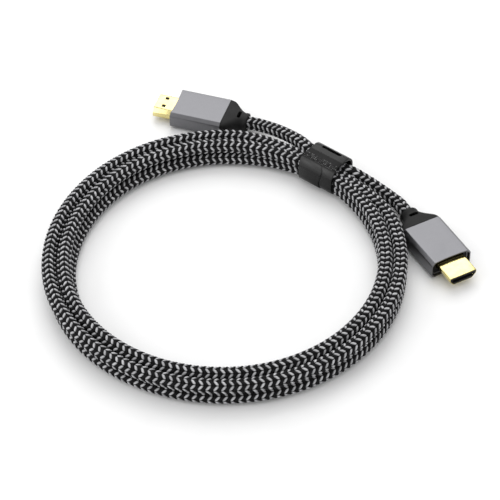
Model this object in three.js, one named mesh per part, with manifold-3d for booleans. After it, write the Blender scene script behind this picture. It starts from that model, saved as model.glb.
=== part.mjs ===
// A coiled audio and video cable with a plug on each end, held by one strap.
// Millimetres, +Z up. The cable lies on a level floor at z = 0. Positions on the floor are
// first given from the coil's centre; the finished group is then set so that its origin is
// the middle of its bounding box, at the floor.

import * as THREE from 'three';
import { mergeVertices } from 'three/addons/utils/BufferGeometryUtils.js';
import Module from 'manifold-3d';

const wasm = await Module();
wasm.setup();

// Clearances and cutting lengths
const GAP = 0.3;                 // between pieces that touch on the real cable
const CUT_OVER = 1;              // how far a cutting body reaches past the face it cuts

// Cable and its coil
const CABLE_D = 6.6;             // over the braid
const COIL_R = 75.3;             // from the coil's centre to the middle of its four turns
const GROOVE_FLOOR = 0.72;       // how deep the valley between two turns goes, in diameters
const COIL_SEGMENTS = 60;
const BUNDLE_POINTS = 24;
const TUBE_SIDES = 10;
const TUBE_STEPS = 11;

// Plug housing: an aluminium sleeve with bevelled long edges
const SHELL_L = 25.4;
const SHELL_W = 20.6;
const SHELL_H = 9;
const SHELL_WALL = 0.9;
const BEVEL_ACROSS = 1.2;
const BEVEL_DOWN = 2;
const FRONT_SCOOP = 0.6;         // the front rim is scooped back this far in its middle
const INNER_BODY_RECESS = 1.6;   // from the front rim back to the black inner body

// Connector: the standard plug, wide face up and chamfered face down
const CONNECTOR_W = 13.9;
const CONNECTOR_H = 4.45;
const CONNECTOR_OUT = 9.85;      // how far it stands out of the housing
const CONNECTOR_IN = 7;          // how far it reaches into the inner body
const CONNECTOR_WALL = 0.35;
const CHAMFER_ACROSS = 2.05;
const CHAMFER_DOWN = 2.3;
const LATCH_HOLE_LONG = 1.9;
const LATCH_HOLE_WIDE = 1.9;
const LATCH_HOLE_SPACING = 5.7;
const LATCH_HOLE_FROM_SHELL = 5.5;

// Contacts and the block that carries them
const BLOCK_RECESS = 0.5;        // from the connector's mouth back to the block
const BLOCK_SLOT_W = 11.4;
const BLOCK_SLOT_H = 1.9;
const BLOCK_SLOT_DEPTH = 8;
const CONTACT_PITCH = 1;
const CONTACTS_WIDE_ROW = 10;
const CONTACTS_NARROW_ROW = 9;
const CONTACT_W = 0.45;
const CONTACT_THICK = 0.2;
const CONTACT_L = 6.2;
const CONTACT_SETBACK = 0.8;     // from the block's front back to the contacts' tips

// Strain relief
const RELIEF_L = 12;
const RELIEF_W = 20.2;           // at the housing
const RELIEF_H = 8.6;
const RELIEF_END_D = 8.8;        // at the cable
const RELIEF_SPIGOT_L = 3;
const RELIEF_SLOT_W = 4.6;
const RELIEF_SLOT_L = 1.7;
const RELIEF_SLOT_FROM_SHELL = 6.9;
const RELIEF_SIDES = 28;
const RELIEF_STATIONS = 8;

// Strap
const STRAP_WIDTH = 18.8;        // along the cable
const STRAP_WALL = 1.2;
const STRAP_CORNER_R = 5.6;
const STRAP_ANGLE = THREE.MathUtils.degToRad(51.4);
const STRAP_FULLER_OUT = 0.9;    // the two ends make the bundle fuller on its outer side
const STRAP_FULLER_UP = 1.4;     // and on top
const STRAP_TAIL_WIDTH = 12.6;   // the tail laps over the inner side of the band
const STRAP_TAIL_THICK = 0.6;
const STRAP_TAIL_LOW = 1.8;      // height of the tail's lower edge
const STRAP_TAIL_REACH = 2.4;    // how far short of the bundle's middle the tail ends on top
const STRAP_SLOT_L = 11;
const STRAP_SLOT_W = 2.2;
const STRAP_SLOT_TURN = THREE.MathUtils.degToRad(76);

// Where the two plugs lie: the middle of the housing's front rim, as degrees round the coil
// and millimetres out from the middle of its bundle, with the way that the plug points
const PLUG_A = { round: 102.9, out: 34.2, yaw: THREE.MathUtils.degToRad(162.4), chamferUp: true };
const PLUG_B = { round: -0.6, out: 27, yaw: THREE.MathUtils.degToRad(-61.2), chamferUp: false };

// Hand-laid points of the two loose ends, as degrees round the coil, millimetres out from the
// middle of its bundle and height, between the straight start at the strain relief and the
// place under the strap where both ends lie against the coil
const END_STRAIGHT = 5;          // straight run out of the strain relief
const END_SQUARE = 3;            // straight run up to where the two ends meet
const END_A_POINTS = [[73.5, 14.6, 7.2], [66, 8.9, 9.6], [60, 4.6, 10.4]];
const END_B_POINTS = [[25.6, 14.1, 4.4], [32, 11.3, 5], [38, 8.2, 6.9], [43, 4.6, 9.7]];
const ENDS_MEET_OUT = 3.4;
const ENDS_MEET_Z = 10.5;

const material = (color, roughness, metalness) => (
  new THREE.MeshStandardMaterial({ color, roughness, metalness })
);
const MATERIALS = {
  braid: material(0x4a4a4c, 0.85, 0),
  aluminium: material(0x8e8e94, 0.38, 1),
  relief: material(0x242426, 0.6, 0),
  innerBody: material(0x161617, 0.5, 0),
  gold: material(0xd9c07a, 0.22, 1),
  strap: material(0x2c2c30, 0.5, 0),
};

function merge(geometry) {
  const bare = geometry.clone();
  bare.deleteAttribute('normal');
  bare.deleteAttribute('uv');
  return mergeVertices(bare, 1e-4);
}

function toSolid(geometry) {
  const merged = merge(geometry);
  return new wasm.Manifold(new wasm.Mesh({
    numProp: 3,
    vertProperties: new Float32Array(merged.attributes.position.array),
    triVerts: new Uint32Array(merged.index.array),
  }));
}

function toGeometry(solid) {
  const mesh = solid.getMesh();
  const geometry = new THREE.BufferGeometry();
  geometry.setAttribute('position', new THREE.BufferAttribute(new Float32Array(mesh.vertProperties), 3));
  geometry.setIndex(new THREE.BufferAttribute(new Uint32Array(mesh.triVerts), 1));
  geometry.computeVertexNormals();
  return geometry;
}

const cut = (geometry, ...cutters) => (
  toGeometry(cutters.reduce((solid, cutter) => solid.subtract(toSolid(cutter)), toSolid(geometry)))
);

// A prism along +X from a shape whose own x is across (Y) and whose y is height (Z)
const ALONG_X = new THREE.Matrix4().makeBasis(
  new THREE.Vector3(0, 1, 0), new THREE.Vector3(0, 0, 1), new THREE.Vector3(1, 0, 0));

function prismAlongX(shape, from, to) {
  const geometry = new THREE.ExtrudeGeometry(shape, { depth: to - from, steps: 1, bevelEnabled: false });
  return geometry.applyMatrix4(ALONG_X).translate(from, 0, 0);
}

function box(fromX, toX, width, height, y = 0, z = 0) {
  return new THREE.BoxGeometry(toX - fromX, width, height).translate((fromX + toX) / 2, y, z);
}

// Sections of the plug, about its long axis

function bevelledOutline(inset) {
  const w = SHELL_W / 2 - inset;
  const h = SHELL_H / 2 - inset;
  const flat = w - BEVEL_ACROSS;
  const side = h - BEVEL_DOWN;
  return [[w, -side], [w, side], [flat, h], [-flat, h], [-w, side], [-w, -side], [-flat, -h], [flat, -h]]
    .map(([x, y]) => new THREE.Vector2(x, y));
}

function connectorOutline(inset) {
  const w = CONNECTOR_W / 2 - inset;
  const h = CONNECTOR_H / 2 - inset;
  const flat = w - CHAMFER_ACROSS;
  const side = -h + CHAMFER_DOWN;
  return [[w, side], [w, h], [-w, h], [-w, side], [-flat, -h], [flat, -h]]
    .map(([x, y]) => new THREE.Vector2(x, y));
}

function tubeShape(outer, inner) {
  const shape = new THREE.Shape(outer);
  shape.holes.push(new THREE.Path(inner));
  return shape;
}

function shellGeometry() {
  const sleeve = prismAlongX(tubeShape(bevelledOutline(0), bevelledOutline(SHELL_WALL)), -SHELL_L, 0);
  const half = SHELL_W / 2;
  const scoopR = (half * half + FRONT_SCOOP * FRONT_SCOOP) / (2 * FRONT_SCOOP);
  const scoop = new THREE.CylinderGeometry(scoopR, scoopR, SHELL_H + 2 * CUT_OVER, 96, 1)
    .rotateX(Math.PI / 2).translate(scoopR - FRONT_SCOOP, 0, 0);
  return cut(sleeve, scoop);
}

const RELIEF_FRONT = -SHELL_L - GAP;
const RELIEF_BACK = RELIEF_FRONT - RELIEF_L;
const SPIGOT_FRONT = -SHELL_L + RELIEF_SPIGOT_L;

function innerBodyGeometry() {
  const fill = prismAlongX(
    new THREE.Shape(bevelledOutline(SHELL_WALL + GAP)), SPIGOT_FRONT + GAP, -INNER_BODY_RECESS);
  const pocket = prismAlongX(
    new THREE.Shape(connectorOutline(-GAP)), -INNER_BODY_RECESS - CONNECTOR_IN - GAP, CUT_OVER);
  return cut(fill, pocket);
}

const CONNECTOR_BACK = -INNER_BODY_RECESS - CONNECTOR_IN;

function connectorGeometry() {
  const sleeve = prismAlongX(
    tubeShape(connectorOutline(0), connectorOutline(CONNECTOR_WALL)), CONNECTOR_BACK, CONNECTOR_OUT);
  const holes = [-1, 1].map((side) => box(
    LATCH_HOLE_FROM_SHELL - LATCH_HOLE_LONG / 2, LATCH_HOLE_FROM_SHELL + LATCH_HOLE_LONG / 2,
    LATCH_HOLE_WIDE, 2 * CONNECTOR_WALL, side * LATCH_HOLE_SPACING / 2, -CONNECTOR_H / 2));
  return cut(sleeve, ...holes);
}

const BLOCK_FRONT = CONNECTOR_OUT - BLOCK_RECESS;

function blockGeometry() {
  const fill = prismAlongX(
    new THREE.Shape(connectorOutline(CONNECTOR_WALL + GAP)), CONNECTOR_BACK, BLOCK_FRONT);
  const slot = box(BLOCK_FRONT - BLOCK_SLOT_DEPTH, BLOCK_FRONT + CUT_OVER, BLOCK_SLOT_W, BLOCK_SLOT_H);
  return cut(fill, slot);
}

function contactRow(count, side) {
  const height = side * (BLOCK_SLOT_H / 2 - GAP - CONTACT_THICK / 2);
  const tip = BLOCK_FRONT - CONTACT_SETBACK;
  return Array.from({ length: count }, (_, i) => (
    box(tip - CONTACT_L, tip, CONTACT_W, CONTACT_THICK, (i - (count - 1) / 2) * CONTACT_PITCH, height)));
}

// The relief flows from the housing's wide flat section to a round collar at the cable
function reliefGeometry() {
  const circle = new THREE.Shape(Array.from({ length: RELIEF_SIDES }, (_, i) => {
    const angle = (2 * Math.PI * i) / RELIEF_SIDES;
    return new THREE.Vector2(Math.cos(angle), Math.sin(angle));
  }));
  const taper = new THREE.ExtrudeGeometry(circle, { depth: 1, steps: RELIEF_STATIONS, bevelEnabled: false });
  const points = taper.attributes.position;
  for (let i = 0; i < points.count; i += 1) {
    const along = points.getZ(i);
    const ease = THREE.MathUtils.smoothstep(along, 0.14, 0.95);
    const halfW = THREE.MathUtils.lerp(RELIEF_W, RELIEF_END_D, ease) / 2;
    const halfH = THREE.MathUtils.lerp(RELIEF_H, RELIEF_END_D, ease) / 2;
    const squareness = THREE.MathUtils.lerp(4.5, 2, ease);
    const angle = Math.atan2(points.getY(i), points.getX(i));
    const bulge = (value) => Math.sign(value) * Math.abs(value) ** (2 / squareness);
    points.setXYZ(i, halfW * bulge(Math.cos(angle)), halfH * bulge(Math.sin(angle)), along * -RELIEF_L);
  }
  taper.applyMatrix4(ALONG_X).translate(RELIEF_FRONT, 0, 0);
  const facesOut = toSolid(flip(taper));
  const spigot = prismAlongX(
    new THREE.Shape(bevelledOutline(SHELL_WALL + GAP)), RELIEF_FRONT - GAP, SPIGOT_FRONT);
  const slotCentre = RELIEF_FRONT + GAP - RELIEF_SLOT_FROM_SHELL;
  const slotHeight = Math.max(RELIEF_H, RELIEF_END_D) + 2 * CUT_OVER;
  const slot = prismUp(slotShape(RELIEF_SLOT_L, RELIEF_SLOT_W), slotHeight)
    .translate(slotCentre, 0, -slotHeight / 2);
  return toGeometry(facesOut.add(toSolid(spigot)).subtract(toSolid(slot)));
}

// A mirrored geometry has its faces turned to point out again
function flip(geometry) {
  const turned = merge(geometry);
  const index = turned.index.array;
  for (let i = 0; i < index.length; i += 3) [index[i], index[i + 1]] = [index[i + 1], index[i]];
  return turned;
}

// A slot with round ends, long in y
function slotShape(short, long) {
  const r = short / 2;
  const straight = long / 2 - r;
  const shape = new THREE.Shape();
  shape.absarc(0, straight, r, 0, Math.PI, false);
  shape.absarc(0, -straight, r, Math.PI, 2 * Math.PI, false);
  return shape;
}

function prismUp(shape, height) {
  return new THREE.ExtrudeGeometry(shape, { depth: height, steps: 1, bevelEnabled: false, curveSegments: 8 });
}

// Where the plugs stand in the coil's own frame

function byCoil(round, out, height) {
  const angle = THREE.MathUtils.degToRad(round);
  return new THREE.Vector3((COIL_R + out) * Math.cos(angle), (COIL_R + out) * Math.sin(angle), height);
}

function onPlug(plug, along, height) {
  return byCoil(plug.round, plug.out, height)
    .add(new THREE.Vector3(along * Math.cos(plug.yaw), along * Math.sin(plug.yaw), 0));
}

// One loose end: straight out of the relief, over its laid points, to the middle of the strap,
// where it meets the other end square on. side is 1 for the end that comes from above.
function endCurve(plug, laidPoints, side) {
  const start = RELIEF_BACK - GAP;
  const underStrap = (alongCable) => (
    new THREE.Vector3(COIL_R + ENDS_MEET_OUT, side * alongCable, ENDS_MEET_Z))
    .applyAxisAngle(new THREE.Vector3(0, 0, 1), STRAP_ANGLE);
  return new THREE.CatmullRomCurve3([
    onPlug(plug, start, SHELL_H / 2), onPlug(plug, start - END_STRAIGHT, SHELL_H / 2),
    ...laidPoints.map((point) => byCoil(...point)),
    underStrap(GAP + END_SQUARE), underStrap(GAP / 2)], false, 'centripetal');
}

function tubeGeometry(curve, radius) {
  const section = new THREE.Shape(Array.from({ length: TUBE_SIDES }, (_, i) => {
    const angle = (2 * Math.PI * i) / TUBE_SIDES;
    return new THREE.Vector2(radius * Math.cos(angle), radius * Math.sin(angle));
  }));
  return new THREE.ExtrudeGeometry(section, { steps: TUBE_STEPS, bevelEnabled: false, extrudePath: curve });
}

const CURVE_A = endCurve(PLUG_A, END_A_POINTS, 1);
const CURVE_B = endCurve(PLUG_B, END_B_POINTS, -1);

// The bundle: four turns, two beside two, as one outline with a valley between neighbours
function bundleOutline() {
  const r = CABLE_D / 2;
  const centres = [[r, r], [-r, r], [-r, -r], [r, -r]];
  return Array.from({ length: BUNDLE_POINTS }, (_, i) => {
    const angle = (2 * Math.PI * i) / BUNDLE_POINTS;
    const [c, s] = [Math.cos(angle), Math.sin(angle)];
    const reach = centres.map(([x, y]) => {
      const along = x * c + y * s;
      const aside = x * s - y * c;
      return Math.abs(aside) < r && along > 0 ? along + Math.sqrt(r * r - aside * aside) : 0;
    });
    const radius = Math.max(...reach, GROOVE_FLOOR * CABLE_D);
    return new THREE.Vector2(COIL_R + radius * c, CABLE_D + radius * s);
  });
}

// The strap's section: x is away from the coil's centre, y is height
const STRAP_REACH_IN = CABLE_D + GAP + STRAP_WALL;
const STRAP_REACH_OUT = STRAP_REACH_IN + STRAP_FULLER_OUT;
const STRAP_TOP = 2 * CABLE_D + GAP + STRAP_WALL + STRAP_FULLER_UP;

function roundedSection(inset) {
  const [left, right] = [-STRAP_REACH_IN + inset, STRAP_REACH_OUT - inset];
  const [low, high] = [inset, STRAP_TOP - inset];
  const r = STRAP_CORNER_R - inset;
  const shape = new THREE.Shape();
  shape.absarc(right - r, high - r, r, 0, Math.PI / 2, false);
  shape.absarc(left + r, high - r, r, Math.PI / 2, Math.PI, false);
  shape.absarc(left + r, low + r, r, Math.PI, 1.5 * Math.PI, false);
  shape.absarc(right - r, low + r, r, 1.5 * Math.PI, 2 * Math.PI, false);
  return shape;
}

// A ring along the cable between two stations, its wall between two insets from the outside
function strapRing(from, to, outerInset, innerInset) {
  const section = roundedSection(outerInset);
  section.holes.push(new THREE.Path(roundedSection(innerInset).getPoints(5)));
  const turn = new THREE.Matrix4().makeBasis(
    new THREE.Vector3(1, 0, 0), new THREE.Vector3(0, 0, 1), new THREE.Vector3(0, -1, 0));
  return new THREE.ExtrudeGeometry(section, { depth: to - from, steps: 1, bevelEnabled: false, curveSegments: 5 })
    .applyMatrix4(turn).translate(COIL_R, -from, 0);
}

function strapGeometry() {
  const half = STRAP_WIDTH / 2;
  const band = toSolid(strapRing(-half, half, 0, STRAP_WALL));
  const wrap = toSolid(strapRing(half - STRAP_TAIL_WIDTH, half, -STRAP_TAIL_THICK, STRAP_WALL / 2));
  const tailHeight = STRAP_TOP + CUT_OVER - STRAP_TAIL_LOW;
  const tailRoom = box(
    COIL_R - STRAP_REACH_IN - CUT_OVER, COIL_R - STRAP_TAIL_REACH,
    STRAP_WIDTH, tailHeight, 0, STRAP_TAIL_LOW + tailHeight / 2);
  const tail = wrap.intersect(toSolid(tailRoom));
  const slotOut = Math.max(STRAP_REACH_OUT, STRAP_TOP);
  const slot = new THREE.ExtrudeGeometry(
    slotShape(STRAP_SLOT_W, STRAP_SLOT_L), { depth: slotOut, steps: 1, bevelEnabled: false, curveSegments: 6 })
    .rotateY(Math.PI / 2 - STRAP_SLOT_TURN).translate(COIL_R + CABLE_D / 2, 0, CABLE_D * 1.5);
  return toGeometry(band.add(tail).subtract(toSolid(slot)));
}

function coilGeometry() {
  const outline = bundleOutline();
  const ring = new THREE.LatheGeometry([...outline, outline[0]], COIL_SEGMENTS).rotateX(Math.PI / 2);
  const half = STRAP_WIDTH / 2 + GAP;
  const strapRoom = strapRing(-half, half, -GAP, STRAP_WALL + GAP).rotateZ(STRAP_ANGLE);
  const endRoom = [CURVE_A, CURVE_B].map((curve) => tubeGeometry(curve, CABLE_D / 2 + GAP));
  return cut(ring, strapRoom, ...endRoom);
}

function node(name, geometry, look) {
  const mesh = new THREE.Mesh(geometry, look);
  mesh.name = name;
  return mesh;
}

// One plug, about its long axis, with the wide face of its connector up
function plugGroup(letter, plug) {
  const connectorParts = new THREE.Group();
  connectorParts.add(
    node(`connector_shell_${letter}`, connectorGeometry(), MATERIALS.gold),
    node(`contact_block_${letter}`, blockGeometry(), MATERIALS.innerBody));
  const contacts = [...contactRow(CONTACTS_WIDE_ROW, 1), ...contactRow(CONTACTS_NARROW_ROW, -1)];
  contacts.forEach((geometry, i) => connectorParts.add(
    node(`contact_${letter}_${String(i + 1).padStart(2, '0')}`, geometry, MATERIALS.gold)));
  connectorParts.rotation.x = plug.chamferUp ? Math.PI : 0;

  const body = innerBodyGeometry();
  const group = new THREE.Group();
  group.add(
    node(`shell_${letter}`, shellGeometry(), MATERIALS.aluminium),
    node(`inner_body_${letter}`, plug.chamferUp ? body.rotateX(Math.PI) : body, MATERIALS.innerBody),
    node(`strain_relief_${letter}`, reliefGeometry(), MATERIALS.relief),
    connectorParts);
  group.rotation.z = plug.yaw;
  group.position.copy(onPlug(plug, 0, SHELL_H / 2));
  return group;
}

const coilFrame = new THREE.Group();
const strap = node('cable_strap', strapGeometry(), MATERIALS.strap);
strap.rotation.z = STRAP_ANGLE;
coilFrame.add(
  node('cable_coil', coilGeometry(), MATERIALS.braid),
  node('cable_end_a', tubeGeometry(CURVE_A, CABLE_D / 2), MATERIALS.braid),
  node('cable_end_b', tubeGeometry(CURVE_B, CABLE_D / 2), MATERIALS.braid),
  strap,
  plugGroup('a', PLUG_A),
  plugGroup('b', PLUG_B));
coilFrame.updateMatrixWorld(true);
const middle = new THREE.Box3().setFromObject(coilFrame, true).getCenter(new THREE.Vector3());
coilFrame.position.set(-middle.x, -middle.y, 0);

const cable = new THREE.Group();
cable.add(coilFrame);
export default cable;
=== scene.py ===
"""A coiled, braided audio and video cable: its braid, its two plugs and its strap."""

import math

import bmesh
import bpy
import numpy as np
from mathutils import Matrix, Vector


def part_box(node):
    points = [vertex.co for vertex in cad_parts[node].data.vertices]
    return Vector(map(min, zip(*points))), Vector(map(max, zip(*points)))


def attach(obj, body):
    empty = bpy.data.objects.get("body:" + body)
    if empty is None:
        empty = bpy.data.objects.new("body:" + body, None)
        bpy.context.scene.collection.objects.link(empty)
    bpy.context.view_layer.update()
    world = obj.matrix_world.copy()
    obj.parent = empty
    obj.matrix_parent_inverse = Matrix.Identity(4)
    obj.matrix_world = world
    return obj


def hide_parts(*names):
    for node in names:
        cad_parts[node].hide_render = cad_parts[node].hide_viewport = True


bl_info = {
    "name": "Coiled braided cable",
    "version": (1, 0, 0),
    "blender": (4, 5, 0),
    "location": "View3D > Sidebar > Cable",
    "description": "Builds the braided cable, its plugs and its strap around the packed part",
    "category": "Object",
}

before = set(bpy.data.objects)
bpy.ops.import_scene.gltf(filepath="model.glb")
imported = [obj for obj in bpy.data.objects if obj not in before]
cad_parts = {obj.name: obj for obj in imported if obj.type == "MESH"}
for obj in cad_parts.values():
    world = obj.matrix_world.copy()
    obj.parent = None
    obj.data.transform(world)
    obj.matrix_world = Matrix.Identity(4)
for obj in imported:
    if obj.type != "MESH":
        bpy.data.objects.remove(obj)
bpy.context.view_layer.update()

MM = 0.001
COIL_LOW, COIL_HIGH = (Vector(corner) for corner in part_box("cable_coil"))
COIL_CENTRE = (COIL_LOW + COIL_HIGH) / 2

# The photograph's frame and the camera that was fitted to the corners of both plugs
PHOTO_SIDE = 500
FOCAL_PIXELS = 2055
CAMERA_DISTANCE = 0.94
CAMERA_ELEVATION = math.radians(44.7)
CAMERA_AIM = Vector((11.5, 12.5, 0)) * MM      # from the coil's centre
SENSOR = 36

# The coil, as in the part: degrees round it, millimetres out from its middle, and height
COIL_R = 75.3
STRAP_ANGLE = 51.4
GAP = 0.3
SHELL_L, SHELL_W, SHELL_H = 25.4, 20.6, 9
RELIEF_L = 12
PLUGS = {
    "a": {"round": 102.9, "out": 34.2, "yaw": 162.4, "chamfer_up": True},
    "b": {"round": -0.6, "out": 27, "yaw": -61.2, "chamfer_up": False},
}
END_STRAIGHT = 5
INTO_RELIEF = 3                                 # how far the cable goes on inside the relief
END_A_POINTS = [(73.5, 14.6, 7.2), (66, 8.9, 9.6), (60, 4.6, 10.4)]
END_B_POINTS = [(25.6, 14.1, 4.4), (32, 11.3, 5), (38, 8.2, 6.9), (43, 4.6, 9.7)]
TURNS = 4

# Where the turns lie in the bundle: (out, height) clear of the strap, at the strap's two
# faces, and in its middle. Each pass under the strap moves a turn on by one place.
PLACES = [(3.4, 9.9), (-3.4, 9.9), (-3.4, 3.3), (3.4, 3.3)]
FACE_IN = [(3.9, 10.6), (-0.4, 9.2), (-3.5, 9.0), (-3.4, 4.7), (3.6, 4.7)]
FACE_OUT = [(-0.4, 9.2), (-3.5, 9.0), (-3.4, 4.7), (3.6, 4.7), (3.9, 10.6)]
STRAP_HALF_ANGLE = 7.2
GATHER_ANGLE = 30
ROUTE_STEP = 6                                  # degrees between points of a turn

# How the coil settled: slack nearly all round, tighter on one side, where its lower row also
# sits further in than the upper one; places and spreads in degrees round the coil
SLACK = 0.5
TIGHTER, TIGHT_AT, TIGHT_SPREAD = 1.8, 160, 40
LEAN, LEAN_AT, LEAN_SPREAD = 2, 165, 80


# Routes


def by_coil(round_degrees, out, height):
    """A point given as degrees round the coil, millimetres out from its middle, and height."""
    angle = math.radians(round_degrees)
    reach = (COIL_R + out) * MM
    x = COIL_CENTRE.x + reach * math.cos(angle)
    y = COIL_CENTRE.y + reach * math.sin(angle)
    return Vector((x, y, height * MM))


def plug_matrix(letter):
    """The plug's own frame: +X out of its mouth, origin in the middle of the housing's front."""
    place = PLUGS[letter]
    origin = by_coil(place["round"], place["out"], SHELL_H / 2)
    return Matrix.Translation(origin) @ Matrix.Rotation(math.radians(place["yaw"]), 4, "Z")


def relief_end(letter, further=0.0):
    """The point where the cable leaves the strain relief, or further along from there."""
    return plug_matrix(letter) @ Vector((-(SHELL_L + RELIEF_L + 2 * GAP + further) * MM, 0, 0))


def eased(value):
    value = min(max(value, 0.0), 1.0)
    return value * value * (3 - 2 * value)


def mixed(a, b, factor):
    return tuple(x + (y - x) * factor for x, y in zip(a, b))


def settled(round_degrees):
    """How far the bundle strays outwards and its lower row sits inwards there."""
    def near(place, spread):
        away = (round_degrees - place + 180) % 360 - 180
        return math.exp(-(away / spread) ** 2)
    return SLACK - TIGHTER * near(TIGHT_AT, TIGHT_SPREAD), LEAN * near(LEAN_AT, LEAN_SPREAD)


def turn_point(turn, phase):
    """A point of one turn; phase is degrees on from the middle of the strap, clockwise."""
    round_degrees = STRAP_ANGLE - phase
    out, height = PLACES[turn]
    stray, lean = settled(round_degrees)
    side = 1 if height > CABLE_D / MM else -1
    free = (out + stray + side * lean / 2, height)
    if phase <= 180:
        away, face, far = phase, FACE_OUT[turn], FACE_IN[turn]
    else:
        away, face, far = 360 - phase, FACE_IN[turn + 1], FACE_OUT[turn + 1]
    if away < STRAP_HALF_ANGLE:
        place = mixed(mixed(face, far, 0.5), face, away / STRAP_HALF_ANGLE)
    else:
        place = mixed(face, free, eased((away - STRAP_HALF_ANGLE) / GATHER_ANGLE))
    return by_coil(round_degrees, *place)


def cable_points():
    """The cable's route from one plug's strain relief to the other's."""
    points = [relief_end("a", -INTO_RELIEF), relief_end("a", END_STRAIGHT)]
    points += [by_coil(*point) for point in END_A_POINTS]
    for turn in range(TURNS):
        first = 0 if turn == 0 else ROUTE_STEP
        for phase in range(first, 360 + ROUTE_STEP, ROUTE_STEP):
            if phase == 360 and turn < TURNS - 1:
                points.append(turn_point(turn, 360))
            elif phase < 360:
                points.append(turn_point(turn, phase))
    points.append(turn_point(TURNS - 1, 360))
    points += [by_coil(*point) for point in reversed(END_B_POINTS)]
    return points + [relief_end("b", END_STRAIGHT), relief_end("b", -INTO_RELIEF)]


def smooth_through(rows, steps):
    """Catmull-Rom rows through the given rows of numbers, steps to each gap."""
    given = np.array([tuple(row) for row in rows], dtype=float)
    given = np.vstack([2 * given[0] - given[1], given, 2 * given[-1] - given[-2]])
    share = np.linspace(0, 1, steps, endpoint=False)[:, None]
    pieces = []
    for p0, p1, p2, p3 in zip(given, given[1:], given[2:], given[3:]):
        pieces.append(0.5 * (2 * p1 + (p2 - p0) * share + (2 * p0 - 5 * p1 + 4 * p2 - p3) * share ** 2
                             + (3 * p1 - p0 - 3 * p2 + p3) * share ** 3))
    return np.vstack(pieces + [given[-2][None]])


def smooth_line(points, step):
    """A smooth line through the points, resampled every step metres, and its length."""
    line = smooth_through(points, 12)
    along = np.concatenate([[0], np.cumsum(np.linalg.norm(np.diff(line, axis=0), axis=1))])
    stations = np.linspace(0, along[-1], int(round(along[-1] / step)) + 1)
    return np.stack([np.interp(stations, along, line[:, axis]) for axis in range(3)], 1), along[-1]


# Materials


class Wire:
    """A value inside a material; arithmetic on it adds the nodes that compute the result."""

    def __init__(self, look, socket):
        self.look = look
        self.socket = socket

    def maths(self, operation, *others):
        inputs = {0: self} | {place + 1: other for place, other in enumerate(others)}
        return self.look.node("ShaderNodeMath", {"operation": operation}, inputs)

    def __add__(self, other):
        return self.maths("ADD", other)

    def __sub__(self, other):
        return self.maths("SUBTRACT", other)

    def __rsub__(self, other):
        return self.maths("MULTIPLY", -1.0).maths("ADD", other)

    def __mul__(self, other):
        return self.maths("MULTIPLY", other)

    __radd__ = __add__
    __rmul__ = __mul__


class Look:
    """A procedural material around one Principled shader."""

    def __init__(self, name, roughness, metallic=0.0, specular=0.5):
        self.material = bpy.data.materials.new(name)
        self.material.use_nodes = True
        self.nodes = self.material.node_tree.nodes
        self.links = self.material.node_tree.links
        self.shader = self.nodes["Principled BSDF"]
        self.shader.inputs["Roughness"].default_value = roughness
        self.shader.inputs["Metallic"].default_value = metallic
        self.shader.inputs["Specular IOR Level"].default_value = specular

    def node(self, kind, settings, inputs, output=0):
        node = self.nodes.new(kind)
        for name, value in settings.items():
            setattr(node, name, value)
        for key, value in inputs.items():
            if isinstance(value, Wire):
                self.links.new(value.socket, node.inputs[key])
            else:
                node.inputs[key].default_value = value
        return Wire(self, node.outputs[output])

    def set(self, socket, wire):
        self.links.new(wire.socket, self.shader.inputs[socket])

    def place(self):
        """The point on the object, in metres."""
        return self.node("ShaderNodeTexCoord", {}, {}, "Object")

    def parts(self, vector):
        split = self.node("ShaderNodeSeparateXYZ", {}, {0: vector})
        return [Wire(self, output) for output in split.socket.node.outputs]

    def join(self, x=0.0, y=0.0, z=0.0):
        return self.node("ShaderNodeCombineXYZ", {}, {0: x, 1: y, 2: z})

    def noise(self, vector, scale, detail=2.0, roughness=0.5):
        return self.node("ShaderNodeTexNoise", {}, {
            "Vector": vector, "Scale": scale, "Detail": detail, "Roughness": roughness})

    def speckle(self, vector):
        """A steady random value for each whole-number place."""
        return self.node("ShaderNodeTexWhiteNoise", {"noise_dimensions": "3D"}, {"Vector": vector})

    def span(self, value, low, high, to_low=0.0, to_high=1.0):
        """The value from low to high, brought to to_low to to_high and held there."""
        return self.node("ShaderNodeMapRange", {"clamp": True}, {
            "Value": value, "From Min": low, "From Max": high, "To Min": to_low, "To Max": to_high})

    def blend(self, factor, first, second):
        return self.node("ShaderNodeMix", {"data_type": "RGBA"}, {0: factor, 6: first, 7: second}, 2)

    def bump(self, height, distance, strength=1.0):
        self.set("Normal", self.node("ShaderNodeBump", {}, {
            "Height": height, "Distance": distance, "Strength": strength}))


def grey(value):
    return (value, value, value, 1)


def shaded(colour, factor):
    """The colour, times the factor."""
    return tuple(value * factor for value in colour[:3]) + (1,)


BLACK_YARN = (0.014, 0.014, 0.015, 1)
PALE_YARN = (0.68, 0.68, 0.7, 1)
YARN_IN_SHADE = 0.28              # painted shade: a stitch's tone at its edges, as a share of its tone at its crown
STITCH_FROM, STITCH_TO = 0.3, 0.85  # how far out from its middle a stitch falls into painted shade
FILAMENTS = 7                     # fine yarns side by side in one stitch
HOUSING_COLOUR = (0.19, 0.19, 0.2, 1)
GOLD_COLOUR = (0.74, 0.64, 0.29, 1)
RUBBER_COLOUR = (0.012, 0.012, 0.012, 1)
STRAP_COLOUR = (0.008, 0.008, 0.008, 1)
PAINTED_SHOULDER_HIGHLIGHT = 6                      # painted highlight: how many times lighter the band is painted over its rounded shoulder
DOT_LIT = 16                      # how many times lighter the brightest dots are than the band


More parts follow.
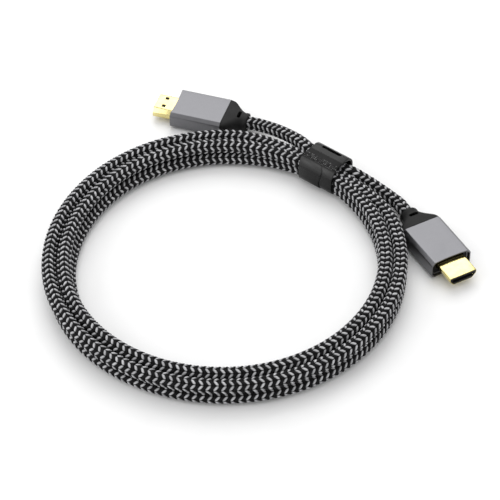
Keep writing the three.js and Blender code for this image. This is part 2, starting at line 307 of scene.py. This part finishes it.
def braid_look(black, light):
    """Black and pale yarn, one colour to each ring of stitches, each stitch its own tone, with painted shade
    towards its edges and in the grooves between stitches.
    """
    look = Look("Braided yarn", roughness=0.7, specular=0.08)
    u, v, _ = look.parts(look.node("ShaderNodeUVMap", {"uv_map": BRAID_UV}, {}))
    column, row = u.maths("FLOOR"), v.maths("FLOOR")
    across, along = u.maths("FRACT"), v.maths("FRACT")
    pale = row.maths("FLOORED_MODULO", 2.0)
    own = look.speckle(look.join(column, row, 0.5))
    from_row_edge = 1.0 - (along - 0.5).maths("ABSOLUTE") * 2.0
    from_column_edge = 1.0 - (across - 0.5).maths("ABSOLUTE") * 2.0
    yarns = (along * FILAMENTS * math.tau + own * math.tau + across * 2.2).maths("SINE")
    wisps = look.noise(look.join(u * 0.8, v * 9.0, own * 5.0), 2.0, 3.0)
    # Painted shade: each stitch is painted lighter at its crown and darker towards the ends of its row, mixed
    # with its own uneven tone
    crown = look.span(from_row_edge, 0.0, 1.0, 0.1, 0.75)
    uneven = yarns * 0.1 + (wisps - 0.5) * 0.5 + (own - 0.5) * 0.35
    painted_shade_and_tone = (crown + uneven).maths("MAXIMUM", 0.0).maths("MINIMUM", 1.0)
    yarn = look.blend(pale, look.blend(painted_shade_and_tone, shaded(black, YARN_IN_SHADE), black),
                      look.blend(painted_shade_and_tone, shaded(light, YARN_IN_SHADE), light))
    # Painted shade: the stitches' borders are painted near black, where the grooves between them lie in shade
    off_row, off_column = 1.0 - from_row_edge, 1.0 - from_column_edge
    reach = off_row.maths("POWER", 2.5) * 0.75 + off_column.maths("POWER", 3.0)
    clear_of_painted_shade = look.span(reach, STITCH_FROM, STITCH_TO, 1.0, 0.0)
    look.set("Base Color", look.blend(clear_of_painted_shade, grey(0.004), yarn))
    look.set("Roughness", look.span(wisps, 0.3, 0.7, 0.5, 0.75))
    height = from_row_edge.maths("POWER", 0.5) * 0.5 + yarns * 0.12 + wisps * 0.3
    look.bump(height, 0.00025, 0.8)
    return look.material


def aluminium_look(colour):
    """Space-grey anodised metal with a fine blasted grain."""
    look = Look("Anodised aluminium", roughness=0.36, metallic=1.0)
    place = look.place()
    grain = look.noise(place, 9000.0, 2.0)
    cloud = look.noise(place, 160.0, 3.0)
    tone = look.span(grain * 0.6 + cloud * 0.4, 0.3, 0.7)
    look.set("Base Color", look.blend(tone, shaded(colour, 0.72), colour))
    look.set("Roughness", look.span(cloud, 0.3, 0.7, 0.33, 0.42))
    look.bump(grain, 0.00002, 0.6)
    return look.material


def gold_look(colour):
    """Gold plate, bright, with faint drawn lines and a little wear."""
    look = Look("Gold plate", roughness=0.2, metallic=1.0)
    place = look.place()
    # One number for each place instead of three makes the noise run in straight lines
    slant = place * 1.0
    lines = look.noise(slant, 2500.0, 2.0)
    cloud = look.noise(place, 350.0, 3.0)
    look.set("Base Color", look.blend(look.span(cloud, 0.35, 0.65), shaded(colour, 0.85), colour))
    look.set("Roughness", look.span(lines, 0.3, 0.7, 0.14, 0.26))
    look.bump(lines, 0.00001, 0.4)
    return look.material


def rubber_look(colour):
    """Soft matt black rubber with a dusty grain."""
    look = Look("Matt rubber", roughness=0.6, specular=0.18)
    place = look.place()
    grain = look.noise(place, 5000.0, 2.0)
    cloud = look.noise(place, 200.0, 3.0)
    look.set("Base Color", look.blend(look.span(cloud, 0.3, 0.7), shaded(colour, 0.5), colour))
    look.set("Roughness", look.span(grain, 0.3, 0.7, 0.5, 0.65))
    look.bump(grain, 0.00003, 0.5)
    return look.material


def plastic_look():
    """Black insulator plastic."""
    look = Look("Black plastic", roughness=0.4, specular=0.12)
    place = look.place()
    cloud = look.noise(place, 600.0, 3.0)
    look.set("Base Color", look.blend(cloud, grey(0.004), grey(0.012)))
    look.set("Roughness", look.span(cloud, 0.3, 0.7, 0.35, 0.5))
    look.bump(cloud, 0.00002, 0.3)
    return look.material


def strap_look(colour, dots_each_mm):
    """Black satin band with a painted highlight over its rounded shoulder; one stripe of it is embossed with
    fine dots.
    """
    look = Look("Satin strap", roughness=0.3, specular=0.2)
    place = look.place()
    girth, across, _ = look.parts(look.node("ShaderNodeUVMap", {"uv_map": GIRTH_UV}, {}))
    girth = girth * GIRTH_SCALE
    across = across * GIRTH_SCALE
    stripe_starts = look.span(girth, STRIPE_FROM, STRIPE_FROM + STRIPE_EDGE)
    stripe_ends = look.span(girth, STRIPE_TO - STRIPE_EDGE, STRIPE_TO, 1.0, 0.0)
    in_stripe = stripe_starts * stripe_ends
    cell_u, cell_v = girth * dots_each_mm, across * dots_each_mm
    own = look.speckle(look.join(cell_u.maths("FLOOR"), cell_v.maths("FLOOR"), 0.5))
    across_dot = (cell_v * math.pi).maths("SINE").maths("ABSOLUTE")
    dots = (cell_u * math.pi).maths("SINE").maths("ABSOLUTE") * across_dot
    streaks = look.noise(look.join(girth * 2.2, across * 0.25), 1.0, 3.0)
    grain = look.noise(place, 4000.0, 2.0)
    smooth = look.blend(look.span(streaks, 0.3, 0.7), shaded(colour, 0.4), colour)
    dotted = look.blend(look.span(dots * own, 0.15, 0.6), grey(0.001), shaded(colour, DOT_LIT))
    # Painted highlight: the band is painted lighter over its rounded shoulder, where it catches the light
    highlight_starts = look.span(girth, TAIL_FROM, TAIL_FROM + 1)
    highlight_ends = look.span(girth, TAIL_FROM + 3, TAIL_FROM + 5, 1.0, 0.0)
    smooth = look.blend(highlight_starts * highlight_ends, smooth, shaded(colour, PAINTED_SHOULDER_HIGHLIGHT))
    look.set("Base Color", look.blend(in_stripe, smooth, dotted))
    look.set("Roughness", look.span(in_stripe + grain * 0.2, 0.0, 1.2, 0.24, 0.6))
    look.bump(in_stripe * dots * own * 1.3 + streaks * 0.1 + grain * 0.05, 0.0003, 0.7)
    return look.material


def paper_look():
    look = Look("Pale floor", roughness=0.9)
    grain = look.noise(look.place(), 60.0, 2.0)
    look.set("Base Color", look.blend(grain, grey(0.88), grey(0.92)))
    return look.material


# Pieces


SHARP_ANGLE = math.radians(38)


def add_piece(name, mesh, material):
    """A shown object made of the bmesh, in the frame's own place."""
    data = bpy.data.meshes.new(name)
    mesh.to_mesh(data)
    mesh.free()
    data.materials.append(material)
    data.shade_smooth()
    data.set_sharp_from_angle(angle=SHARP_ANGLE)
    piece = bpy.data.objects.new(name, data)
    bpy.context.scene.collection.objects.link(piece)
    return piece


def loft(loops, wrap=False):
    """A closed skin over loops of points; wrap joins the last loop to the first."""
    mesh = bmesh.new()
    around, rows = len(loops[0]), len(loops) if wrap else len(loops) - 1
    bmesh.ops.create_grid(mesh, x_segments=around, y_segments=rows, size=1)
    for vert in mesh.verts:
        column = round((vert.co.x + 1) / 2 * around) % around
        row = round((vert.co.y + 1) / 2 * rows) % len(loops)
        vert.co = loops[row][column]
    bmesh.ops.remove_doubles(mesh, verts=mesh.verts, dist=1e-7)
    bmesh.ops.holes_fill(mesh, edges=mesh.edges, sides=0)
    bmesh.ops.recalc_face_normals(mesh, faces=mesh.faces)
    return mesh


def carved(mesh, cutter):
    """The mesh with the cutter's shape taken out of it."""
    holders = []
    for name, made in (("solid", mesh), ("cutter", cutter)):
        data = bpy.data.meshes.new(name)
        made.to_mesh(data)
        made.free()
        holders.append(bpy.data.objects.new(name, data))
        bpy.context.scene.collection.objects.link(holders[-1])
    solid, tool = holders
    taking = solid.modifiers.new("Taking out", "BOOLEAN")
    taking.operation = "DIFFERENCE"
    taking.solver = "EXACT"
    taking.object = tool
    cut = bmesh.new()
    cut.from_object(solid, bpy.context.evaluated_depsgraph_get())
    for holder in holders:
        data = holder.data
        bpy.data.objects.remove(holder)
        bpy.data.meshes.remove(data)
    return cut


def softened(corners, reach, bend_points=4, side_points=6):
    """A closed outline through the corners, each one rounded off within reach of it."""
    outline = []
    for before, corner, after in zip(corners[-1:] + corners[:-1], corners, corners[1:] + corners[:1]):
        before, corner, after = Vector(before), Vector(corner), Vector(after)
        start = corner + (before - corner).normalized() * reach
        end = corner + (after - corner).normalized() * reach
        for step in range(bend_points + 1):
            share = step / bend_points
            outline.append(start.lerp(corner, share).lerp(corner.lerp(end, share), share))
        next_start = after + (corner - after).normalized() * reach
        outline += [end.lerp(next_start, step / side_points) for step in range(1, side_points)]
    return outline


def placed(matrix, x, outline):
    """The outline, in millimetres, stood across the plug's axis at x; x may depend on the point."""
    at = x if callable(x) else lambda point: x
    return [matrix @ (Vector((at(point), point.x, point.y)) * MM) for point in outline]


def block_between(matrix, low, high):
    """A plain block between two corners, in millimetres of the plug's own frame."""
    mesh = bmesh.new()
    bmesh.ops.create_cube(mesh, size=1)
    for vert in mesh.verts:
        share = vert.co + Vector((0.5, 0.5, 0.5))
        vert.co = matrix @ (Vector([a + (b - a) * t for a, b, t in zip(low, high, share)]) * MM)
    return mesh


# The plugs, in millimetres of each plug's own frame

WALL = 0.9
RIM = 0.55                        # width of the housing's front rim
BEVEL_ACROSS, BEVEL_DOWN = 1.5, 1.55
FRONT_SCOOP = 0.6
RECESS = 1.6                      # from the front rim back to the black inner body
CONNECTOR_W, CONNECTOR_H = 13.9, 4.45
CONNECTOR_OUT = 9.85
CONNECTOR_WALL = 0.35
CHAMFER_ACROSS, CHAMFER_DOWN = 2.05, 2.3
LATCH_HOLE = 1.9
LATCH_HOLE_SPACING = 5.7
LATCH_HOLE_FROM_SHELL = 5.5
SLOT_W, SLOT_H, SLOT_DEPTH = 11.4, 1.9, 8
EYE_W, EYE_L = 4.6, 1.7           # the strain relief's through slot
EYE_FROM_SHELL = 6.9

# Strain relief: from the housing backwards, half width, half height, squareness
RELIEF_PROFILE = [
    (-2, 8.7, 3, 4), (0, 8.8, 3.1, 5), (0.02, 10, 4.2, 6), (0.3, 10.15, 4.4, 6), (1.6, 10, 4.38, 5.4),
    (3, 9.45, 4.35, 4.6), (4.6, 8.1, 4.3, 3.7), (6.2, 6.6, 4.25, 3), (8, 5.3, 4.2, 2.4),
    (9.6, 4.75, 4.2, 2), (11, 4.75, 4.38, 2), (11.7, 4.65, 4.34, 2), (12, 4.2, 4, 2),
    (11.9, 3.75, 3.65, 2), (11, 3.5, 3.5, 2), (8, 3.35, 3.35, 2),
]
RELIEF_SIDES = 72
RELIEF_SHORTENED = 0.95


def bevelled_outline(inset):
    w, h = SHELL_W / 2 - inset, SHELL_H / 2 - inset
    flat, side = w - BEVEL_ACROSS, h - BEVEL_DOWN
    corners = [(w, -side), (w, side), (flat, h), (-flat, h), (-w, side), (-w, -side), (-flat, -h), (flat, -h)]
    return softened(corners, 0.28)


def connector_outline(inset):
    w, h = CONNECTOR_W / 2 - inset, CONNECTOR_H / 2 - inset
    flat, side = w - CHAMFER_ACROSS, CHAMFER_DOWN - h
    return softened([(w, side), (w, h), (-w, h), (-w, side), (-flat, -h), (flat, -h)], 0.5 - inset / 2)


def shell_mesh(matrix):
    """The housing: a bevelled sleeve with a thin, slightly hollowed front rim."""
    def front(back_by):
        return lambda point: -FRONT_SCOOP * (1 - (2 * point.x / SHELL_W) ** 2) - back_by
    stations = [
        (-SHELL_L, WALL), (-SHELL_L, 0.1), (-SHELL_L + 0.1, 0), (front(0.12), 0), (front(0), 0.12),
        (front(0), RIM - 0.1), (front(0.1), RIM), (-RECESS, RIM + 0.1), (-RECESS - 0.2, WALL + 0.35),
        (-RECESS - 0.6, WALL),
    ]
    return loft([placed(matrix, x, bevelled_outline(inset)) for x, inset in stations], wrap=True)


def relief_mesh(matrix):
    """The strain relief: from the housing's flat section, in to a waist, out to a collar."""
    loops = []
    for back, half_w, half_h, squareness in smooth_through(RELIEF_PROFILE, 4):
        outline = []
        for side in range(RELIEF_SIDES):
            angle = math.tau * side / RELIEF_SIDES
            c, s = math.cos(angle), math.sin(angle)
            outline.append(Vector((math.copysign(abs(c) ** (2 / squareness), c) * half_w,
                                   math.copysign(abs(s) ** (2 / squareness), s) * half_h)))
        loops.append(placed(matrix, -SHELL_L - back * RELIEF_SHORTENED, outline))
    ends = [(EYE_L / 2 * x, EYE_W / 2 * y) for x, y in ((1, 1), (-1, 1), (-1, -1), (1, -1))]
    middle = -SHELL_L - EYE_FROM_SHELL
    pill = softened(ends, EYE_L * 0.48, 6, 2)
    eye = loft([[matrix @ (Vector((middle + point.x, point.y, height)) * MM) for point in pill]
                for height in (-SHELL_H, SHELL_H)])
    return carved(loft(loops), eye)


def connector_mesh(matrix):
    """The gold sleeve with its two latch holes."""
    stations = [
        (-RECESS - 1, CONNECTOR_WALL), (-RECESS - 1, 0), (CONNECTOR_OUT - 0.2, 0),
        (CONNECTOR_OUT - 0.05, 0.05), (CONNECTOR_OUT, 0.13), (CONNECTOR_OUT - 0.03, 0.2),
        (CONNECTOR_OUT - 0.8, 0.22),
        (CONNECTOR_OUT - 1, CONNECTOR_WALL),
    ]
    sleeve = loft([placed(matrix, x, connector_outline(inset)) for x, inset in stations], wrap=True)
    for side in (-1, 1):
        x, y, z = LATCH_HOLE_FROM_SHELL, side * LATCH_HOLE_SPACING / 2, -CONNECTOR_H / 2
        half = LATCH_HOLE / 2
        hole = block_between(matrix, (x - half, y - half, z - 1), (x + half, y + half, z + 0.8))
        sleeve = carved(sleeve, hole)
    return sleeve


def contact_block_mesh(matrix):
    """The black insulator inside the sleeve, with the slot that the contacts line."""
    inset = CONNECTOR_WALL + 0.02
    stations = [
        (-RECESS, inset), (CONNECTOR_OUT - 0.95, inset), (CONNECTOR_OUT - 0.75, 0.24),
        (CONNECTOR_OUT - 0.1, 0.22), (CONNECTOR_OUT - 0.04, 0.3),
    ]
    block = loft([placed(matrix, x, connector_outline(step)) for x, step in stations])
    low = (CONNECTOR_OUT - SLOT_DEPTH, -SLOT_W / 2, -SLOT_H / 2)
    high = (CONNECTOR_OUT + 1, SLOT_W / 2, SLOT_H / 2)
    return carved(block, block_between(matrix, low, high))


def build_plugs(settings):
    looks = {
        "housing": aluminium_look(settings.housing), "gold": gold_look(settings.gold),
        "relief": rubber_look(settings.relief), "inner_body": plastic_look(),
    }
    for letter, plug in PLUGS.items():
        body = plug_matrix(letter)
        turned = body @ Matrix.Rotation(math.pi if plug["chamfer_up"] else 0, 4, "X")
        made = [
            ("shell", shell_mesh(body), "housing"),
            ("strain_relief", relief_mesh(body), "relief"),
            ("connector_shell", connector_mesh(turned), "gold"),
            ("contact_block", contact_block_mesh(turned), "inner_body"),
        ]
        for name, mesh, slot in made:
            piece = add_piece(f"{name}_{letter}_piece", mesh, looks[slot])
            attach(piece, "root")
            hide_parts(f"{name}_{letter}")
        for name in plug_nodes(letter):
            look = looks["gold" if name.startswith("contact_") else "inner_body"]
            if name.startswith(("contact_a_", "contact_b_", "inner_body")):
                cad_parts[name].data.materials.clear()
                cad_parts[name].data.materials.append(look)


# The strap, in millimetres: out from the middle of the bundle, along the cable, and up

STRAP_HALF_WIDTH = 9.4
STRAP_WALL = 1.2
STRAP_IN, STRAP_OUT, STRAP_TOP = -8.1, 9, 16.1
STRAP_CORNER_R = 5.6
STRAP_ROUND = 0.35                # rounding of the band's edges
GIRTH_POINTS = 160
GIRTH_UV = "Girth"
GIRTH_SCALE = 60                  # millimetres of girth to one unit of the map
STRIPE_FROM, STRIPE_TO = 27.9, 34.5
STRIPE_EDGE = 0.25
TAIL_FROM, TAIL_TO = 34.5, 49
TAIL_THICK = 0.6
TAIL_SEAM = -2.8
STRAP_EYE_L, STRAP_EYE_W = 11, 2.2
STRAP_EYE_TURN = math.radians(76)


def strap_point(out, along, height):
    turn = Matrix.Rotation(math.radians(STRAP_ANGLE), 4, "Z")
    return Vector((COIL_CENTRE.x, COIL_CENTRE.y, 0)) + turn @ (Vector((COIL_R + out, along, height)) * MM)


def strap_girth():
    """Rows (girth, out, height, out normal, up normal) round the strap from its underside."""
    r = STRAP_CORNER_R
    left, right, low, high = STRAP_IN + r, STRAP_OUT - r, r, STRAP_TOP - r
    centres = [(right, low, -90), (right, high, 0), (left, high, 90), (left, low, 180)]
    rows = [((left + right) / 2, 0, 0, -1)]
    for out, height, first in centres:
        for step in range(41):
            angle = math.radians(first + step * 90 / 40)
            c, s = math.cos(angle), math.sin(angle)
            rows.append((out + r * c, height + r * s, c, s))
    rows.append(rows[0])
    rows = np.array(rows)
    lengths = np.concatenate([[0], np.cumsum(np.linalg.norm(np.diff(rows[:, :2], axis=0), axis=1))])
    return np.column_stack([lengths, rows])


def at_girth(girth, table):
    return [float(np.interp(girth, table[:, 0], table[:, column])) for column in range(1, 5)]


def strap_loop(girth, table, ring):
    """A ring of (along, depth below the surface) across the strap at one place of its girth."""
    out, height, out_normal, up_normal = at_girth(girth, table)
    return [strap_point(out - out_normal * depth, along, height - up_normal * depth) for along, depth in ring]


def lay_girth_map(mesh, table):
    """Gives each corner its girth and its place across the band."""
    layer = mesh.loops.layers.uv.new(GIRTH_UV)
    back = Matrix.Rotation(-math.radians(STRAP_ANGLE), 4, "Z")
    for face in mesh.faces:
        for loop in face.loops:
            local = back @ (loop.vert.co - Vector((COIL_CENTRE.x, COIL_CENTRE.y, 0))) / MM
            away = np.hypot(table[:, 1] - (local.x - COIL_R), table[:, 2] - local.z)
            loop[layer].uv = (table[int(np.argmin(away)), 0] / GIRTH_SCALE, local.y / GIRTH_SCALE)


def band_mesh(table):
    w, e, t = STRAP_HALF_WIDTH, STRAP_ROUND, STRAP_WALL
    bend = e * 0.3
    half_ring = [
        (0, 0), (w / 2, 0), (w - e, 0), (w - bend, bend), (w, e), (w, t - e), (w - bend, t - bend),
        (w - e, t), (w / 2, t), (0, t),
    ]
    ring = half_ring + [(-along, depth) for along, depth in half_ring[-2:0:-1]]
    girth = table[-1, 0]
    steps = [girth * step / GIRTH_POINTS for step in range(GIRTH_POINTS)]
    band = loft([strap_loop(step, table, ring) for step in steps], wrap=True)
    centre_out, centre_up = STRAP_OUT - STRAP_CORNER_R, STRAP_TOP - STRAP_CORNER_R
    c, s = math.cos(STRAP_EYE_TURN), math.sin(STRAP_EYE_TURN)
    half_l, half_w = STRAP_EYE_L / 2, STRAP_EYE_W / 2
    corners = [(half_l, half_w), (-half_l, half_w), (-half_l, -half_w), (half_l, -half_w)]
    pill = softened(corners, half_w * 0.95, 8, 2)

    def lifted(reach):
        return [strap_point(centre_out + c * reach - s * point.y, point.x,
                            centre_up + s * reach + c * point.y) for point in pill]
    eye = loft([lifted(2.5), lifted(STRAP_CORNER_R + 2)])
    return carved(band, eye)


def tail_mesh(table):
    """The band's free end, laid once more over the inner side and rounded off at its seam."""
    loops = []
    for step in range(41):
        share = step / 40
        girth = TAIL_FROM + (TAIL_TO - TAIL_FROM) * share
        rise = TAIL_THICK * min(1, 6 * min(share, 1 - share) + 0.3)
        corner = 1.9 * (1 - min(1, share * 5)) ** 2
        right = TAIL_SEAM - 0.6 * math.sin(share * math.tau) + corner
        left = STRAP_HALF_WIDTH + 0.02
        ring = [
            (left, 0.3), (left, -rise + 0.2), (left - 0.3, -rise), (4, -rise), (right + 0.3, -rise),
            (right, -rise + 0.2), (right, 0.3), (4, 0.3),
        ]
        loops.append(strap_loop(girth, table, ring))
    return loft(loops)


def build_strap(settings):
    table = strap_girth()
    mesh = band_mesh(table)
    tail = bpy.data.meshes.new("tail")
    made = tail_mesh(table)
    made.to_mesh(tail)
    made.free()
    mesh.from_mesh(tail)
    bpy.data.meshes.remove(tail)
    lay_girth_map(mesh, table)
    strap = add_piece("strap", mesh, strap_look(settings.colour, settings.dots_each_mm))
    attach(strap, "root")
    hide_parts("cable_strap")


BRAID_UV = "Braid"
BAKE_UV = "OFBake"
CABLE_D = 6.6 * MM
COLUMNS = 8                       # columns of stitches round the cable
CELLS = 3                         # facets along and across one stitch
ROW_PITCH = 1.6 * MM
ZIGZAG = 0.8 * MM                 # how far a stitch's two ends are shifted along the cable
ROW_GROOVE = 0.35 * MM
COLUMN_GROOVE = 0.3 * MM
BAKE_STRIPS = 10
LINE_STEP = 1 * MM


def sections_along(line):
    """The line's points with two directions square to it, carried along without twisting."""
    tangents = np.gradient(line, axis=0)
    tangents /= np.linalg.norm(tangents, axis=1)[:, None]
    side = np.cross(tangents[0], (0, 0, 1))
    side /= np.linalg.norm(side)
    sides = [side]
    for tangent in tangents[1:]:
        side = side - tangent * np.dot(side, tangent)
        side /= np.linalg.norm(side)
        sides.append(side)
    sides = np.array(sides)
    return sides, np.cross(tangents, sides)


def braided_tube(points, rows, cable_radius):
    """A tube whose facets follow the stitches of its braid, rows of them along the points."""
    mesh = bmesh.new()
    mesh.loops.layers.uv.new(BRAID_UV)
    around_cells, along_cells = COLUMNS * CELLS, rows * CELLS
    bmesh.ops.create_grid(mesh, x_segments=around_cells, y_segments=along_cells, size=1, calc_uvs=True)
    length_cells = len(points) - 1
    sides, ups = sections_along(points)
    stitches = mesh.loops.layers.uv[BRAID_UV]
    bake = mesh.loops.layers.uv.new(BAKE_UV)
    rows_in_strip = math.ceil(rows / BAKE_STRIPS)
    for face in mesh.faces:
        row = int((face.calc_center_median().y + 1) / 2 * rows)
        strip = row // rows_in_strip
        for loop in face.loops:
            across, along = (loop.vert.co.x + 1) / 2, (loop.vert.co.y + 1) / 2
            loop[stitches].uv = (across * COLUMNS, along * rows)
            loop[bake].uv = ((along * rows - strip * rows_in_strip) / rows_in_strip,
                             (strip + 0.05 + 0.9 * across) / BAKE_STRIPS)
    seam = []
    for vert in mesh.verts:
        cell_x = round((vert.co.x + 1) / 2 * around_cells)
        cell_y = round((vert.co.y + 1) / 2 * along_cells)
        zigzag = abs((cell_x / CELLS) % 2 - 1) * 2 - 1
        place = (cell_y / CELLS * ROW_PITCH + zigzag * ZIGZAG) / (rows * ROW_PITCH) * length_cells
        place = min(max(place, 0), length_cells)
        index = min(int(place), length_cells - 1)
        share = place - index
        middle = points[index] * (1 - share) + points[index + 1] * share
        side = sides[index] * (1 - share) + sides[index + 1] * share
        up = ups[index] * (1 - share) + ups[index + 1] * share
        grooves = ROW_GROOVE * (cell_y % CELLS == 0) + COLUMN_GROOVE * (cell_x % CELLS == 0)
        radius = cable_radius - grooves
        angle = cell_x / around_cells * math.tau
        vert.co = middle + (side * math.cos(angle) + up * math.sin(angle)) * radius
        if cell_x in (0, around_cells):
            seam.append(vert)
    bmesh.ops.remove_doubles(mesh, verts=seam, dist=1e-6)
    return mesh


def plug_nodes(letter):
    """The names of one plug's own CAD nodes."""
    return [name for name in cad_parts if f"_{letter}_" in name + "_" and name != f"cable_end_{letter}"]


def build_cable(settings):
    route = cable_points()
    line, length = smooth_line(route, LINE_STEP)
    rows = int(length / ROW_PITCH)
    tube = braided_tube(line, rows, settings.diameter / 2)
    cable = add_piece("braided_cable", tube, braid_look(settings.black_yarn, settings.pale_yarn))
    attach(cable, "root")
    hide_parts("cable_coil", "cable_end_a", "cable_end_b")
    relief_end("a", -INTO_RELIEF)


# Stage

# Name, place from the point that the camera aims at, and side of the softbox, all in metres
LIGHTS = [
    ("Rear softbox", (0, 1.0, 1.05), 1.1),
    ("Top softbox", (-0.2, 0.1, 1.6), 1.2),
    ("Left softbox", (-1.3, -0.3, 0.7), 0.9),
]


def build_stage(settings):
    scene = bpy.context.scene
    target = Vector((COIL_CENTRE.x, COIL_CENTRE.y, 0)) + CAMERA_AIM
    camera_data = bpy.data.cameras.new("Camera")
    camera_data.sensor_width = SENSOR
    camera_data.lens = FOCAL_PIXELS / PHOTO_SIDE * SENSOR
    camera_data.clip_end = 10
    camera = bpy.data.objects.new("Camera", camera_data)
    away = Vector((0, -math.cos(CAMERA_ELEVATION), math.sin(CAMERA_ELEVATION)))
    camera.location = target + away * CAMERA_DISTANCE
    camera.rotation_euler = (math.pi / 2 - CAMERA_ELEVATION, 0, 0)
    scene.collection.objects.link(camera)
    scene.camera = camera

    floor_mesh = bmesh.new()
    bmesh.ops.create_grid(floor_mesh, x_segments=1, y_segments=1, size=6)
    floor = add_piece("floor", floor_mesh, paper_look())
    floor.location.z = -0.0005

    world = bpy.data.worlds.new("Soft studio")
    world.use_nodes = True
    background = world.node_tree.nodes["Background"]
    background.inputs["Color"].default_value = (1, 1, 1, 1)
    background.inputs["Strength"].default_value = settings.surroundings
    scene.world = world
    scene.view_settings.view_transform = "Standard"

    powers = (settings.rear_power, settings.top_power, settings.left_power)
    for (name, place, size), power in zip(LIGHTS, powers):
        light_data = bpy.data.lights.new(name, "AREA")
        light_data.shape = "SQUARE"
        light_data.size = size
        light_data.energy = power
        light = bpy.data.objects.new(name, light_data)
        light.location = target + Vector(place)
        light.rotation_euler = (-Vector(place)).to_track_quat("-Z", "Y").to_euler()
        scene.collection.objects.link(light)


# Settings, operators and panel


def colour_setting(name, description, default):
    return bpy.props.FloatVectorProperty(
        name=name, description=description, default=default, size=4, min=0, max=1, subtype="COLOR")


class CableSettings(bpy.types.PropertyGroup):
    diameter: bpy.props.FloatProperty(
        name="Diameter", description="The braided cable, from crown to crown of its stitches",
        default=CABLE_D, min=0.004, max=0.009, unit="LENGTH")
    black_yarn: colour_setting("Black yarn", "The dark rings of stitches", BLACK_YARN)
    pale_yarn: colour_setting("Pale yarn", "The light rings of stitches", PALE_YARN)


class PlugSettings(bpy.types.PropertyGroup):
    housing: colour_setting("Housing", "The anodised sleeves of both plugs", HOUSING_COLOUR)
    gold: colour_setting("Plating", "The connectors' sleeves and their contacts", GOLD_COLOUR)
    relief: colour_setting("Strain relief", "The rubber behind the housings", RUBBER_COLOUR)


class StrapSettings(bpy.types.PropertyGroup):
    colour: colour_setting("Strap", "The band that holds the coil together", STRAP_COLOUR)
    dots_each_mm: bpy.props.FloatProperty(
        name="Dots", description="How many embossed dots stand on a millimetre of the stripe",
        default=1.15, min=0.3, max=4)


class StageSettings(bpy.types.PropertyGroup):
    surroundings: bpy.props.FloatProperty(
        name="Surroundings", description="Brightness of the even white light from all round",
        default=0.78, min=0, max=5)
    rear_power: bpy.props.FloatProperty(
        name="Rear softbox", description="Power of the light behind the cable",
        default=8.5, min=0, max=100, unit="POWER")
    top_power: bpy.props.FloatProperty(
        name="Top softbox", description="Power of the light above the cable",
        default=4, min=0, max=100, unit="POWER")
    left_power: bpy.props.FloatProperty(
        name="Left softbox", description="Power of the light at the cable's left",
        default=5, min=0, max=100, unit="POWER")


class CABLE_OT_stage(bpy.types.Operator):
    """Adds the camera, the floor and the lights"""

    bl_idname = "cable.stage"
    bl_label = "Build the stage"

    def execute(self, context):
        build_stage(context.scene.cable_stage)
        return {"FINISHED"}


class CABLE_OT_plugs(bpy.types.Operator):
    """Builds both plugs: housing, strain relief, connector sleeve and insulator"""

    bl_idname = "cable.plugs"
    bl_label = "Build the plugs"

    def execute(self, context):
        build_plugs(context.scene.cable_plugs)
        return {"FINISHED"}


class CABLE_OT_strap(bpy.types.Operator):
    """Builds the band round the coil, with its slot and its free end"""

    bl_idname = "cable.strap"
    bl_label = "Build the strap"

    def execute(self, context):
        build_strap(context.scene.cable_strap)
        return {"FINISHED"}


class CABLE_OT_braid(bpy.types.Operator):
    """Builds the braided cable from plug to plug; the plugs come first"""

    bl_idname = "cable.braid"
    bl_label = "Build the braided cable"

    def execute(self, context):
        build_cable(context.scene.cable_braid)
        return {"FINISHED"}


class CABLE_PT_panel(bpy.types.Panel):
    """Sizes and colours of the cable, and the operators that build it"""

    bl_idname = "CABLE_PT_panel"
    bl_label = "Coiled braided cable"
    bl_space_type = "VIEW_3D"
    bl_region_type = "UI"
    bl_category = "Cable"

    def draw(self, context):
        for step, (operator, _) in STEPS.items():
            box = self.layout.box()
            settings = getattr(context.scene, step)
            for name in settings.__annotations__:
                box.prop(settings, name)
            box.operator(operator.bl_idname)


# Where each group of settings sits on the scene, its operator and its class, in building order
STEPS = {
    "cable_stage": (CABLE_OT_stage, StageSettings),
    "cable_plugs": (CABLE_OT_plugs, PlugSettings),
    "cable_strap": (CABLE_OT_strap, StrapSettings),
    "cable_braid": (CABLE_OT_braid, CableSettings),
}


def register():
    for name, (operator, settings) in STEPS.items():
        bpy.utils.register_class(settings)
        bpy.utils.register_class(operator)
        setattr(bpy.types.Scene, name, bpy.props.PointerProperty(type=settings))
    bpy.utils.register_class(CABLE_PT_panel)


def unregister():
    bpy.utils.unregister_class(CABLE_PT_panel)
    for name, (operator, settings) in reversed(STEPS.items()):
        delattr(bpy.types.Scene, name)
        bpy.utils.unregister_class(operator)
        bpy.utils.unregister_class(settings)


def main():
    register()
    bpy.ops.cable.stage()
    bpy.ops.cable.plugs()
    bpy.ops.cable.strap()
    bpy.ops.cable.braid()


if __name__ == "__main__":
    main()
